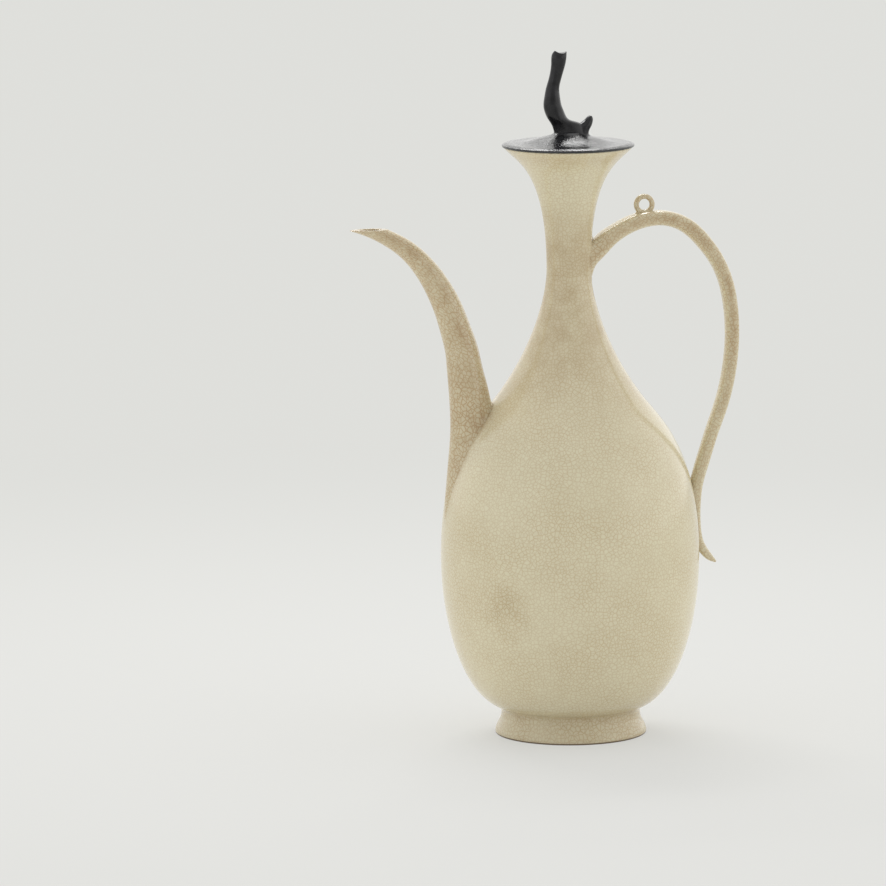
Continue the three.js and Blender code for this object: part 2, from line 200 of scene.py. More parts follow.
def turningTree(weld=0.01):
    # one ring of section points becomes a wall turned round the pot's axis, as on a wheel
    tree = bpy.data.node_groups.new("turnedWall", "GeometryNodeTree")
    for label, way, kind in (("Section", "INPUT", "Geometry"), ("Sides", "INPUT", "Int"), ("Axis", "INPUT", "Vector"),
                             ("Glaze", "INPUT", "Material"), ("Wall", "OUTPUT", "Geometry")):
        tree.interface.new_socket(label, in_out=way, socket_type="NodeSocket" + kind)
    given, made = nodeIn(tree, "NodeGroupInput").outputs, nodeIn(tree, "NodeGroupOutput")
    link = tree.links.new
    count = nodeIn(tree, "GeometryNodeAttributeDomainSize", component="MESH")
    link(given["Section"], count.inputs["Geometry"])
    count = count.outputs["Point Count"]
    grid = nodeIn(tree, "GeometryNodeMeshGrid")
    link(maths(tree, "ADD", given["Sides"], 1), grid.inputs["Vertices X"])
    link(count, grid.inputs["Vertices Y"])
    index = nodeIn(tree, "GeometryNodeInputIndex").outputs[0]
    sample = nodeIn(tree, "GeometryNodeSampleIndex", data_type="FLOAT_VECTOR", domain="POINT")
    link(given["Section"], sample.inputs["Geometry"])
    link(nodeIn(tree, "GeometryNodeInputPosition").outputs[0], sample.inputs["Value"])
    link(maths(tree, "FLOORED_MODULO", index, count), sample.inputs["Index"])
    step = maths(tree, "DIVIDE", fullTurn, given["Sides"])
    turn = maths(tree, "FLOOR", maths(tree, "DIVIDE", index, count))
    spin = nodeIn(tree, "ShaderNodeVectorRotate", rotation_type="Z_AXIS")
    link(sample.outputs["Value"], spin.inputs["Vector"])
    link(maths(tree, "MULTIPLY", turn, step), spin.inputs["Angle"])
    place, merge, finish = (
        nodeIn(tree, "GeometryNode" + kind) for kind in ("SetPosition", "MergeByDistance", "SetMaterial")
    )
    link(grid.outputs["Mesh"], place.inputs["Geometry"])
    link(vectorMaths(tree, "ADD", spin.outputs[0], given["Axis"]), place.inputs["Position"])
    link(place.outputs[0], merge.inputs["Geometry"])
    merge.inputs["Distance"].default_value = weld * mm
    link(merge.outputs[0], finish.inputs["Geometry"])
    link(given["Glaze"], finish.inputs["Material"])
    link(finish.outputs[0], made.inputs["Wall"])
    return tree


def addObject(name, data):
    made = bpy.data.objects.new(name, data)
    scene.collection.objects.link(made)
    return made


def plainMesh(name, points, faces):
    mesh = bpy.data.meshes.new(name)
    mesh.from_pydata([tuple(v) for v in points * mm], [], faces)
    return mesh


def faceOutwards(mesh):
    whole = bmesh.new()
    whole.from_mesh(mesh)
    bmesh.ops.recalc_face_normals(whole, faces=whole.faces)
    whole.to_mesh(mesh)
    whole.free()


def baked(name, source):
    # the evaluated object as a plain mesh of its own, its faces turned outwards
    graph = bpy.context.evaluated_depsgraph_get()
    mesh = bpy.data.meshes.new_from_object(source.evaluated_get(graph), depsgraph=graph)
    bpy.data.objects.remove(source)
    mesh.name = name
    faceOutwards(mesh)
    return addObject(name, mesh)


def shadeSmooth(piece, crease):
    piece.data.shade_smooth()
    piece.data.set_sharp_from_angle(angle=math.radians(crease))


def turned(name, section, sides, glaze, closed=True):
    points = np.vstack((section, section[:1])) if closed else section
    source = addObject(name + "Section", plainMesh(name + "Section", np.insert(points, 1, 0, axis=1), []))
    wheel = source.modifiers.new("wheel", "NODES")
    wheel.node_group = turning
    sockets = {s.name: s.identifier for s in turning.interface.items_tree if s.in_out == "INPUT"}
    wheel[sockets["Sides"]] = sides
    wheel[sockets["Axis"]] = (potAxis * mm, 0.0, 0.0)
    wheel[sockets["Glaze"]] = glaze
    piece = baked(name, source)
    shadeSmooth(piece, crease=40)
    return piece


def rowsOf(piece):
    points = np.empty(len(piece.data.vertices) * 3)
    piece.data.vertices.foreach_get("co", points)
    return points.reshape(-1, 3) / mm


def setRows(piece, points):
    piece.data.vertices.foreach_set("co", (points * mm).ravel())
    piece.data.update()


# the pooled glaze mask; on the spout, handle, belly and foot it also carries painted shade
def storePoolAndShade(piece, values):
    mask = piece.data.attributes.new("pooling", "FLOAT", "POINT")
    mask.data.foreach_set("value", np.clip(values, 0, 1).astype(np.float32))


# the crackle's own map: round a piece and along it in metres, stepped so that cells keep their size where it narrows.
# The steps' edges waver round the piece, with turns, slope and lead for each wave
netForm = {
    "map": "crackleMap", "step": 1.25, "shift": 41.0, "least": 0.5, "waver": 0.3,
    "waves": ((7, 0.11, 0), (3, -0.17, 2)), "drift": 120.0, "wideNet": 0.53, "dome": 0.35,
}


def layNet(piece, angle, along, radius, flatFrom=0.85):
    # faces that look up or down by more than flatFrom take the directions they lie in: at 2 none do, at None all
    mesh = piece.data
    corners, starts = np.empty(len(mesh.loops), np.int32), np.empty(len(mesh.polygons), np.int32)
    normals = np.empty(len(mesh.polygons) * 3)
    mesh.loops.foreach_get("vertex_index", corners)
    mesh.polygons.foreach_get("loop_start", starts)
    mesh.polygons.foreach_get("normal", normals)
    counts = np.diff(np.append(starts, len(corners)))
    face = np.repeat(np.arange(len(starts)), counts)
    turn = angle[corners]
    low, high = np.minimum.reduceat(turn, starts), np.maximum.reduceat(turn, starts)
    turn = np.where((high - low > math.pi)[face] & (turn < 0), turn + fullTurn, turn)
    size = np.add.reduceat(radius[corners], starts) / counts
    place = np.add.reduceat(along[corners], starts) / counts
    waves = sum(np.sin(turns * low + slope * place + lead) for turns, slope, lead in netForm["waves"])
    size = np.maximum(size, netForm["least"])
    band = np.floor(np.log(size) / math.log(netForm["step"]) + netForm["waver"] * waves)
    even = netForm["step"] ** (band + 0.5)
    net = np.column_stack((turn * even[face] + band[face] * netForm["shift"], along[corners]))
    facing = np.abs(normals.reshape(-1, 3))
    flat = rowsOf(piece)[corners]
    most = facing.argmax(1)[face][:, None]
    lying = np.where(most == 2, flat[:, :2], np.where(most == 1, flat[:, ::2], flat[:, 1:]))
    isFlat = np.ones(len(starts), bool) if flatFrom is None else facing[:, 2] > flatFrom
    net = np.where(isFlat[face][:, None], lying, net)
    layer = mesh.uv_layers.new(name=netForm["map"])
    layer.data.foreach_set("uv", (net * mm).astype(np.float32).ravel())


def layTurnedNet(piece):
    points = rowsOf(piece)
    ahead = np.arctan2(points[:, 0] - potAxis, -points[:, 1])
    along = np.interp(points[:, 2], outline[:, 1], lengthsAlong(outline))
    under = points[:, 2] < outline[0, 1]
    along[under] = points[under, 2] - outline[0, 1]
    layNet(piece, ahead, along, np.hypot(points[:, 0] - potAxis, points[:, 1]))


# shader groups: crackle in the glaze, and the small waves of a fired surface
def shaderGroup(name, vectors, numbers, results):
    tree = bpy.data.node_groups.new(name, "ShaderNodeTree")
    for labels, way, kind in ((vectors, "INPUT", "Vector"), (numbers, "INPUT", "Float"), (results, "OUTPUT", "Float")):
        for label in labels:
            tree.interface.new_socket(label, in_out=way, socket_type="NodeSocket" + kind)
    return tree, nodeIn(tree, "NodeGroupInput").outputs, nodeIn(tree, "NodeGroupOutput").inputs


def mapped(tree, value, low, high, toLow=0.0, toHigh=1.0):
    made = nodeIn(tree, "ShaderNodeMapRange", interpolation_type="SMOOTHSTEP")
    for label, given in zip(("Value", "From Min", "From Max", "To Min", "To Max"), (value, low, high, toLow, toHigh)):
        feed(tree, made.inputs[label], given)
    return made.outputs["Result"]


def noise(tree, vector, scale, detail=2.0, roughness=0.5, result=0):
    made = nodeIn(tree, "ShaderNodeTexNoise")
    for label, given in zip(("Vector", "Scale", "Detail", "Roughness"), (vector, scale, detail, roughness)):
        feed(tree, made.inputs[label], given)
    return made.outputs[result]


def blended(tree, share, first, second, way="MIX"):
    made = nodeIn(tree, "ShaderNodeMix", data_type="RGBA", blend_type=way)
    for place, value in ((0, share), (6, first), (7, second)):
        feed(tree, made.inputs[place], value)
    return made.outputs[2]


def voronoi(tree, feature, vector, scale):
    made = nodeIn(tree, "ShaderNodeTexVoronoi", feature=feature, voronoi_dimensions="2D")
    tree.links.new(vector, made.inputs["Vector"])
    tree.links.new(scale, made.inputs["Scale"])
    return made.outputs


def crackleGroup():
    # a net of fine cracks, and a wider one over it that cuts its cells square
    tree, given, out = shaderGroup(
        "crackleNet", ("Map", "Place"), ("Cells", "Warp", "Width"), ("Main", "Fine", "Shade", "Dome"))
    link = tree.links.new
    drift = noise(tree, given["Place"], netForm["drift"], result="Color")
    drift = vectorMaths(tree, "SCALE", vectorMaths(tree, "SUBTRACT", drift, (0.5, 0.5, 0.5)), given["Warp"])
    warped = vectorMaths(tree, "ADD", given["Map"], drift)
    wideCells = maths(tree, "MULTIPLY", given["Cells"], netForm["wideNet"])
    wideWidth = maths(tree, "MULTIPLY", given["Width"], netForm["wideNet"])
    near = voronoi(tree, "DISTANCE_TO_EDGE", warped, given["Cells"])["Distance"]
    wideNear = voronoi(tree, "DISTANCE_TO_EDGE", warped, wideCells)["Distance"]
    tint = voronoi(tree, "F1", warped, given["Cells"])["Color"]
    link(mapped(tree, near, 0.0, given["Width"], 1.0, 0.0), out["Main"])
    link(mapped(tree, wideNear, 0.0, wideWidth, 1.0, 0.0), out["Fine"])
    link(separated(tree, "Color", tint)[0], out["Shade"])
    link(mapped(tree, near, 0.0, netForm["dome"]), out["Dome"])
    return tree


def peelGroup():
    # the uneven skin of a fired glaze: long waves, and a fine orange peel
    tree, given, out = shaderGroup("glazeSkin", ("Place",), ("Waves", "Peel", "PeelShare"), ("Height", "Patches"))
    waves = noise(tree, given["Place"], given["Waves"], 1.0)
    fine = maths(tree, "MULTIPLY", noise(tree, given["Place"], given["Peel"]), given["PeelShare"])
    tree.links.new(maths(tree, "ADD", waves, fine), out["Height"])
    tree.links.new(mapped(tree, waves, 0.35, 0.65), out["Patches"])
    return tree


def grouped(tree, group, **values):
    made = nodeIn(tree, "ShaderNodeGroup", node_tree=group)
    for label, value in values.items():
        feed(tree, made.inputs[label], value)
    return made.outputs


def newGlaze(name):
    glaze = bpy.data.materials.new(name)
    glaze.use_nodes = True
    return glaze, glaze.node_tree, nodeIn(glaze.node_tree, "ShaderNodeTexCoord").outputs["Object"]


def finishGlaze(tree, colour, roughness, index, height, depth):
    skin, bump = tree.nodes["Principled BSDF"], nodeIn(tree, "ShaderNodeBump")
    for node, label, value in ((skin, "Base Color", colour), (skin, "Roughness", roughness), (skin, "IOR", index),
                               (bump, "Distance", depth), (bump, "Height", height), (skin, "Normal", bump.outputs[0])):
        feed(tree, node.inputs[label], value)


turning = turningTree()
crackleNet = crackleGroup()
glazeSkin = peelGroup()

# cream glaze: linear colours, the strengths of its lines, and scales and ranges of its clouds and waves. The pool
# colour is pooled glaze and also painted shade, and clay is bare clay and also painted contact shadow
creamGlaze = {
    "pale": (0.665, 0.62, 0.45), "deep": (0.60, 0.54, 0.375), "crack": (0.64, 0.41, 0.23), "pool": (0.45, 0.352, 0.212),
    "stain": (0.47, 0.40, 0.245), "clayAndContactShade": (0.15, 0.105, 0.065), "roughness": 0.14, "index": 1.5,
    "mainLines": 0.54, "fineLines": 0.46, "halo": 0.10, "pooledLines": -0.1, "stainLines": 0.4, "warp": 0.002,
    "cellShade": 0.3, "cloudShade": 0.4, "cloud": (38.0, 3.0, 0.6), "cloudRange": (0.35, 0.68),
    "patch": 40.0, "patchRange": (0.3, 0.7), "patchLeast": 0.7, "poolPatch": (130.0, 3.0),
    "poolRange": (0.3, 0.7, 0.4, 0.9), "stainNoise": (70.0, 4.0, 0.6), "bareFrom": 0.7, "waves": 55.0,
    "peel": 260.0, "peelShare": 0.2, "waveDepth": 0.000024, "domes": 0.12,
}


def creamMaterial(name, cells, width=0.10, force=1.0, relief=1.0, stain=None, bareShadedEdge=None):
    glaze, tree, place = newGlaze(name)
    look = creamGlaze

    def times(first, second):
        return maths(tree, "MULTIPLY", first, second)

    laid = nodeIn(tree, "ShaderNodeUVMap", uv_map=netForm["map"]).outputs[0]
    net = grouped(tree, crackleNet, Map=laid, Place=place, Cells=cells, Warp=look["warp"], Width=width)
    waves = grouped(tree, glazeSkin, Place=place, Waves=look["waves"], Peel=look["peel"], PeelShare=look["peelShare"])
    cloud = mapped(tree, noise(tree, place, *look["cloud"]), *look["cloudRange"])
    shade = maths(tree, "MULTIPLY_ADD", net["Shade"], look["cellShade"], times(cloud, look["cloudShade"]))
    colour = blended(tree, shade, look["pale"], look["deep"])
    poolAndShade = nodeIn(tree, "ShaderNodeAttribute", attribute_name="pooling").outputs["Fac"]
    patches = noise(tree, place, look["patch"])
    crazed = mapped(tree, patches, *look["patchRange"], look["patchLeast"] * force, force)
    crazed = times(crazed, maths(tree, "MULTIPLY_ADD", poolAndShade, look["pooledLines"], 1.0))
    if stain:
        away = vectorMaths(tree, "DISTANCE", place, tuple(v * mm for v in stain["centre"]))
        ragged = maths(tree, "MULTIPLY_ADD", noise(tree, place, *look["stainNoise"]), stain["ragged"] * mm, away)
        spot = mapped(tree, ragged, stain["inner"] * mm, stain["outer"] * mm, 1.0, 0.0)
        colour = blended(tree, times(spot, stain["share"]), colour, look["stain"])
        crazed = maths(tree, "ADD", crazed, times(spot, look["stainLines"]))
    fine, main = times(net["Fine"], look["fineLines"]), times(net["Main"], look["mainLines"])
    halo = times(maths(tree, "SUBTRACT", 1.0, net["Dome"]), look["halo"])
    lines = times(maths(tree, "MAXIMUM", maths(tree, "MAXIMUM", main, fine), halo), crazed)
    uneven = mapped(tree, noise(tree, place, *look["poolPatch"]), *look["poolRange"])
    # pooled glaze darkens the colour, and so does the painted shade that the same mask carries on the spout, the handle
    # and the belly-foot crease
    colour = blended(tree, times(poolAndShade, uneven), colour, look["pool"])
    colour = blended(tree, lines, colour, look["crack"], "MULTIPLY")
    # the foot's bottom edge is bare clay, painted darker also as the contact shadow where it meets the floor
    if bareShadedEdge:
        height = separated(tree, "XYZ", place)["Z"]
        bare = mapped(tree, height, look["bareFrom"] * bareShadedEdge * mm, bareShadedEdge * mm, 1.0, 0.0)
        colour = blended(tree, bare, colour, look["clayAndContactShade"])
    height = maths(tree, "MULTIPLY_ADD", net["Dome"], look["domes"], waves["Height"])
    finishGlaze(tree, colour, look["roughness"], look["index"], height, look["waveDepth"] * relief)
    return glaze


# black glazes of the lid and its finial
darkGlaze = {
    "waves": 260.0, "peelShare": 0.9,
    "lid": {
        "pale": (0.016, 0.017, 0.019), "deep": (0.004, 0.004, 0.005), "roughness": 0.06, "index": 1.65,
        "peel": 1700.0, "depth": 0.00019,
    },
    "finial": {
        "pale": (0.011, 0.011, 0.013), "deep": (0.003, 0.003, 0.004), "roughness": 0.18, "index": 1.45,
        "peel": 1300.0, "depth": 0.00010,
    },
}


def darkMaterial(name, look):
    glaze, tree, place = newGlaze(name)
    waves = grouped(tree, glazeSkin, Place=place, Waves=darkGlaze["waves"], Peel=look["peel"],
                    PeelShare=darkGlaze["peelShare"])
    colour = blended(tree, waves["Patches"], look["pale"], look["deep"])
    finishGlaze(tree, colour, look["roughness"], look["index"], waves["Height"], look["depth"])
    return glaze


# the warm stain low on the belly, in millimetres
bodyStain = {"centre": (-28.4, -44.0, 69.5), "ragged": 30.0, "inner": 12.0, "outer": 32.0, "share": 0.42}
wallGlaze = creamMaterial("wallGlaze", 560.0, relief=0.75, stain=bodyStain)
footGlaze = creamMaterial("footGlaze", 540.0, force=1.25, relief=0.75, bareShadedEdge=0.9)
spoutGlaze = creamMaterial("spoutGlaze", 460.0, width=0.12, force=1.6, relief=0.4)
strapGlaze = creamMaterial("strapGlaze", 500.0, width=0.12, force=1.4, relief=0.4)
lidGlaze = darkMaterial("lidGlaze", darkGlaze["lid"])
finialGlaze = darkMaterial("finialGlaze", darkGlaze["finial"])
print("glazes:", len(bpy.data.materials))


# turned pieces
footForm = {
    "radius": 35.4, "side": 1.2, "lean": 0.6, "waist": (32.4, 10.4), "waistPull": 4.5, "flarePull": 4.0, "height": 11.0,
    "wall": 4.6, "edge": 0.5, "filletRadius": 34.6, "filletSink": 0.25, "filletSlope": 38.0, "filletPull": 1.3,
    "pool": 0.32, "topPoolAndShade": 0.35, "topReach": 2.5, "steps": 16,
}


def footSection(form):
    inner = form["radius"] - form["wall"]
    innerTop = form["waist"][0] - form["wall"]
    side, waist, pull = (form["radius"], form["side"]), form["waist"], form["filletPull"]
    low = outline[:potForm["steps"]]
    meeting = float(np.interp(form["filletRadius"], low[:, 0], low[:, 1]))
    fillet = (form["filletRadius"], meeting + form["filletSink"])
    flareStart = (side[0] - form["lean"], side[1] + form["flarePull"])
    flare = joined([
        (side, flareStart, pulled(waist, -90, form["waistPull"]), waist),
        (waist, pulled(waist, 90, pull), pulled(fillet, form["filletSlope"], -pull), fillet),
    ], form["steps"])
    corners = [(form["radius"] - 0.1, 0.0, form["edge"])] + [(x, z, 0) for x, z in flare]
    corners += [(waist[0], fillet[1], 0), (innerTop, form["height"] + 1, 0), (inner, 0.0, form["edge"])]
    return softened(corners)


footRing = turned("foot_ring_glazed", footSection(footForm), potForm["sides"], footGlaze)


def bodySection(form):
    base = footForm["height"]
    floor = base + form["floor"]
    outer = between(outline, outline[0, 1], form["neckJoint"])
    inner = between(bodyInside, floor, form["neckJoint"])[::-2]
    return np.vstack(((0, base), (outline[0, 0] - form["heel"], base), outer, inner, (0, floor)))


def neckSection(form):
    outer = between(outline, form["neckJoint"], form["mouthJoint"])
    return np.vstack((outer, between(neckInside, form["neckJoint"], form["mouthJoint"])[::-2]))


def mouthSection(form):
    outer = between(outline, form["mouthJoint"], outline[-1, 1] - 0.1)
    inner = between(neckInside, form["mouthJoint"], form["rim"] - 1.2)[::-2]
    rim = softened([
        (*outer[-1], 0), (outline[-1, 0] - 0.05, form["rim"], form["rimRound"]),
        (inner[0, 0] + form["rimInner"], form["rim"], form["rimRound"]), (*inner[0], 0),
    ])
    return np.vstack((outer, rim[1:-1], inner))


bodyWall = turned("body_glazed", bodySection(potForm), potForm["sides"], wallGlaze, closed=False)
neckWall = turned("neck_glazed", neckSection(potForm), potForm["sides"], wallGlaze)
mouthWall = turned("mouth_glazed", mouthSection(potForm), potForm["sides"], wallGlaze)

# lid: its top runs from the edge over swell, boss and collar to the middle, with stations as the pot has
lidForm = {
    "radius": 30.7, "under": 0.25, "bevel": 1.0, "bevelRound": 0.2, "crown": 5.9, "steps": 24,
    "top": [
        ((29.0, 1.7), 175.0, 0, 4.0), ((20.0, 2.3), 169.0, 4.0, 3.0), ((12.0, 4.4), 167.0, 3.0, 3.0),
        ((6.4, 6.5), 138.0, 1.8, 0.6), ((0.0, 7.0), 180.0, 4.0, 0),
    ],
    "flangeRadius": 18.86, "flangeWall": 2.6, "flangeDepth": 6.5, "flangeRound": 0.8, "flangeSides": 128,
}


def lidSection(form):
    radius = form["radius"]
    edge = softened([
        (0, 0, 0), (radius - 0.1, 0, form["under"]), (radius, form["bevel"], form["bevelRound"]),
        (*form["top"][0][0], 0),
    ])
    return np.vstack((edge[:-1], curveThrough(form["top"], form["steps"]))) + (0, potForm["rim"])


def flangeSection(form):
    outer, low, rounding = form["flangeRadius"], -form["flangeDepth"], form["flangeRound"]
    inner = outer - form["flangeWall"]
    ring = softened([(inner, low, rounding), (outer, low, rounding), (outer, 0, 0), (inner, 0, 0)])
    return ring + (0, potForm["rim"])


lidPlate = turned("lid_plate_glazed", lidSection(lidForm), potForm["sides"], lidGlaze, closed=False)
lidFlange = turned("lid_flange_glazed", flangeSection(lidForm), lidForm["flangeSides"], lidGlaze)
print("turned pieces: foot, body, neck, mouth, lid plate, lid flange")


# swept pieces
def smoothThrough(knots, values, places):
    # a natural cubic curve through every row of values
    count = len(knots)
    span = np.diff(knots)
    system = np.eye(count)
    right = np.zeros((count, values.shape[1]))
    for i in range(1, count - 1):
        system[i, i - 1:i + 2] = span[i - 1], 2 * (span[i - 1] + span[i]), span[i]
        right[i] = 6 * ((values[i + 1] - values[i]) / span[i] - (values[i] - values[i - 1]) / span[i - 1])
    bend = np.linalg.solve(system, right)
    i = np.clip(np.searchsorted(knots, places) - 1, 0, count - 2)
    high = ((places - knots[i]) / span[i])[:, None]
    low = 1 - high
    curving = (low ** 3 - low) * bend[i] + (high ** 3 - high) * bend[i + 1]
    return low * values[i] + high * values[i + 1] + curving * (span[i] ** 2)[:, None] / 6


def seated(stations, height, side=1):
    # stations counted out from the pot's wall and up from a height become places in the middle plane
    reach = outerRadius(height)
    return [(potAxis + side * (reach + out), height + up, thick, wide) for out, up, thick, wide in stations]


def coursed(stations, count):
    # stations (x, z, half thickness, half width) in the middle plane become an even run of them
    rows = np.array(stations, float)
    knots = lengthsAlong(rows[:, :2])
    return smoothThrough(knots, rows, np.linspace(0, knots[-1], count))


def ovalRings(run, sides, square=2.0, under=2.0):
    # square and under are the powers of the oval's outer and inner half: 2 is an ellipse, more is squarer
    along = directions(run[:, :2])
    cosine, sine = np.cos(roundTurn(sides)), np.sin(roundTurn(sides))
    power = 2 / np.where(cosine > 0, square, under)
    thick, wide = run[:, 2:3], run[:, 3:4]
    across = thick * (np.sign(cosine) * np.abs(cosine) ** power)
    x = run[:, 0:1] - along[:, 1:2] * across
    z = run[:, 1:2] + along[:, 0:1] * across
    rings = np.stack((x, wide * (np.sign(sine) * np.abs(sine) ** power), z), axis=2)
    outwards = np.stack((-along[:, 1:2] * cosine / thick, sine / wide, along[:, 0:1] * cosine / thick), axis=2)
    return rings, outwards / np.linalg.norm(outwards, axis=2)[:, :, None], cosine


# a luted join: its swell as a share of its flow, the pooled glaze's reach, how soon a slant counts in full, how much
# deeper a piece's far side lies, how deep skin and wall still count, and how many reaches away glaze is looked for
joinForm = {"swell": 0.25, "reach": 1.1, "slant": 1.5, "deeper": 1.2, "skin": -0.3, "wall": -0.5, "search": 2.5}


def luted(rings, outwards, cosine, flow, sink):
    # the ring points swell where the piece meets the pot, and those inside the pot lie just under its wall
    shape = rings.shape
    points, normals = rings.reshape(-1, 3), outwards.reshape(-1, 3)
    gap, facing = potGap(points)
    slant = 1 - np.clip((normals * facing).sum(1), 0, 1) ** 2
    close = 1 - np.clip(gap, 0, flow) / flow
    points = points + normals * (flow * joinForm["swell"] * close ** 2 * slant)[:, None]
    pooling = bell(np.clip(gap, 0, None), joinForm["reach"]) * np.clip(slant * joinForm["slant"], 0, 1)
    gap, facing = potGap(points)
    depth = sink + np.tile((1 - cosine) / 2, shape[0]) * joinForm["deeper"]
    under = np.minimum(gap + depth, 0)
    points = points - facing * under[:, None]
    return points.reshape(shape), pooling.reshape(shape[:2])


def gridFaces(rows, sides, closed=False):
    faces = []
    for r in range(rows if closed else rows - 1):
        here, ahead = r * sides, (r + 1) % rows * sides
        faces += [(here + s, here + (s + 1) % sides, ahead + (s + 1) % sides, ahead + s) for s in range(sides)]
    return faces


def tubeMesh(name, rings):
    # rings of points become a tube that closes round the middle of each end
    rows, sides = rings.shape[:2]
    points = np.vstack((rings.reshape(-1, 3), rings[0].mean(0), rings[-1].mean(0)))
    first, last = rows * sides, (rows - 1) * sides
    faces = gridFaces(rows, sides)
    faces += [(first, (s + 1) % sides, s) for s in range(sides)]
    faces += [(first + 1, last + s, last + (s + 1) % sides) for s in range(sides)]
    return plainMesh(name, points, faces)


def skinned(name, rings, pooling, glaze, backSide):
    # the crackle map goes round the tube by real arc length, with its seam along the back side
    mesh = tubeMesh(name, rings)
    faceOutwards(mesh)
    piece = addObject(name, mesh)
    storePoolAndShade(piece, np.append(pooling, (0, 0)))
    arcs = np.linalg.norm(np.roll(rings, -1, axis=1) - rings, axis=2)
    girth = arcs.sum(1) / fullTurn
    turn = np.roll(np.cumsum(np.roll(arcs, -backSide, axis=1), axis=1), 1, axis=1)
    turn[:, 0] = 0
    turn = np.roll(turn / girth[:, None] - math.pi, backSide, axis=1)

    def perPoint(values):
        return np.append(np.repeat(values, rings.shape[1]), values[[0, -1]])

    layNet(piece, np.append(turn, (0, 0)), perPoint(lengthsAlong(rings.mean(1))), perPoint(girth), flatFrom=2)
    mesh.materials.append(glaze)
    shadeSmooth(piece, crease=50)
    return piece


# spout stations in millimetres: out from the pot's wall at the seat, up from it, half thickness, half width
spoutForm = {
    "seat": 145.0, "lip": 239.3, "flow": 4.0, "sink": 0.4, "pool": 1.3, "rows": 220, "sides": 80, "runRows": 900,
    "rootWall": 2.9, "lipWall": 1.35, "boreFrom": 0.42, "lipRound": 0.4,
    "rimSteps": ((0.06, 0.55), (0.2, 0.92), (0.4, 1.0), (0.6, 1.0), (0.8, 0.92), (0.94, 0.55)),
    # band and the height ramp after it set the painted shade down the spout's broad sides
    "band": (-0.2, 0.42, 0.62), "shadeBandFrom": ((102.0, 130.0), (0.35, 1.0)),
    "stations": [
        (1.6, -49, 12.9, 7), (1.3, -38, 13.3, 8.5), (1.1, -27, 12.6, 11), (1, -18, 11.9, 10.6), (0.9, -9, 11.2, 9.2),
        (1.2, 0, 10.4, 9.2), (1.9, 9, 9.8, 9.2), (3, 18, 9.2, 9), (4.5, 27, 8.4, 8.6), (6.1, 37, 7.7, 8),
        (8.7, 46, 7.2, 7.5), (12.1, 56, 6.7, 7), (16.3, 65, 6.2, 6.5), (22.5, 74.8, 5.4, 6), (32.5, 85.1, 4.4, 5.4),
        (41.2, 90.5, 3.7, 5), (50, 94.5, 3.3, 4.6), (61, 97.7, 2.8, 4),
    ],
}


def shadeBandShare(cosine, band):
    # painted shade: a darker, warmer band down the middle of each broad side, where the side light falls off, in the
    # colour of pooled glaze; it fades towards one edge or both
    middle, spread, rest = band
    return (1 - rest) * bell(cosine - middle, spread) + rest * (1 - np.clip(-cosine, 0, 1) ** 4)


def lipEnds(rings, level):
    # for every line along the spout, the row at which it reaches the lip's level
    ends = []
    for column in rings[:, :, 2].T:
        row = int(np.argmax(column >= level)) if (column >= level).any() else len(column) - 1
        ends.append(row - 1 + (level - column[row - 1]) / (column[row] - column[row - 1]))
    return ends


def resampled(rings, start, ends, rows):
    made = np.empty((rows, rings.shape[1], 3))
    index = np.arange(len(rings))
    for side in range(rings.shape[1]):
        places = np.linspace(start, ends[side], rows)
        for axis in range(3):
            made[:, side, axis] = np.interp(places, index, rings[:, side, axis])
    return made


def spoutPiece(form):
    run = coursed(seated(form["stations"], form["seat"], -1), form["runRows"])
    outer, outwards, cosine = ovalRings(run, form["sides"])
    level = form["lip"] - form["lipRound"]
    ends = lipEnds(outer, level)
    facing = resampled(outwards, 0, ends, form["rows"])
    unitFacing = facing / np.linalg.norm(facing, axis=2)[:, :, None]
    outside, pooling = luted(resampled(outer, 0, ends, form["rows"]), unitFacing, cosine, form["flow"], form["sink"])
    bored = run.copy()
    walls = (form["rootWall"], form["lipWall"])
    bored[:, 2:] -= np.interp(np.linspace(0, 1, len(run)), (form["boreFrom"], 1), walls)[:, None]
    inner, _, _ = ovalRings(bored, form["sides"])
    start = int(form["boreFrom"] * len(run))
    inside = resampled(inner, start, lipEnds(inner, level), form["rows"] // 2)[::-1]
    rim = []
    for share, lift in form["rimSteps"]:
        ring = outside[-1] * (1 - share) + inside[0] * share
        ring[:, 2] = level + form["lipRound"] * lift
        rim.append(ring)
    rings = np.concatenate((outside, np.array(rim), inside))
    # the mask holds the join's pooled glaze and the painted shade band down the spout's broad sides, which fades low on
    # the spout
    spread = np.ones(rings.shape[:2])
    shadeBand = np.interp(outside[:, :, 2], *form["shadeBandFrom"])
    spread[:len(pooling)] = np.maximum(pooling, shadeBand * shadeBandShare(cosine, form["band"]))
    return skinned("spout_glazed", rings, spread, spoutGlaze, form["sides"] // 4), outside, facing


spout, spoutSkin, spoutFacing = spoutPiece(spoutForm)

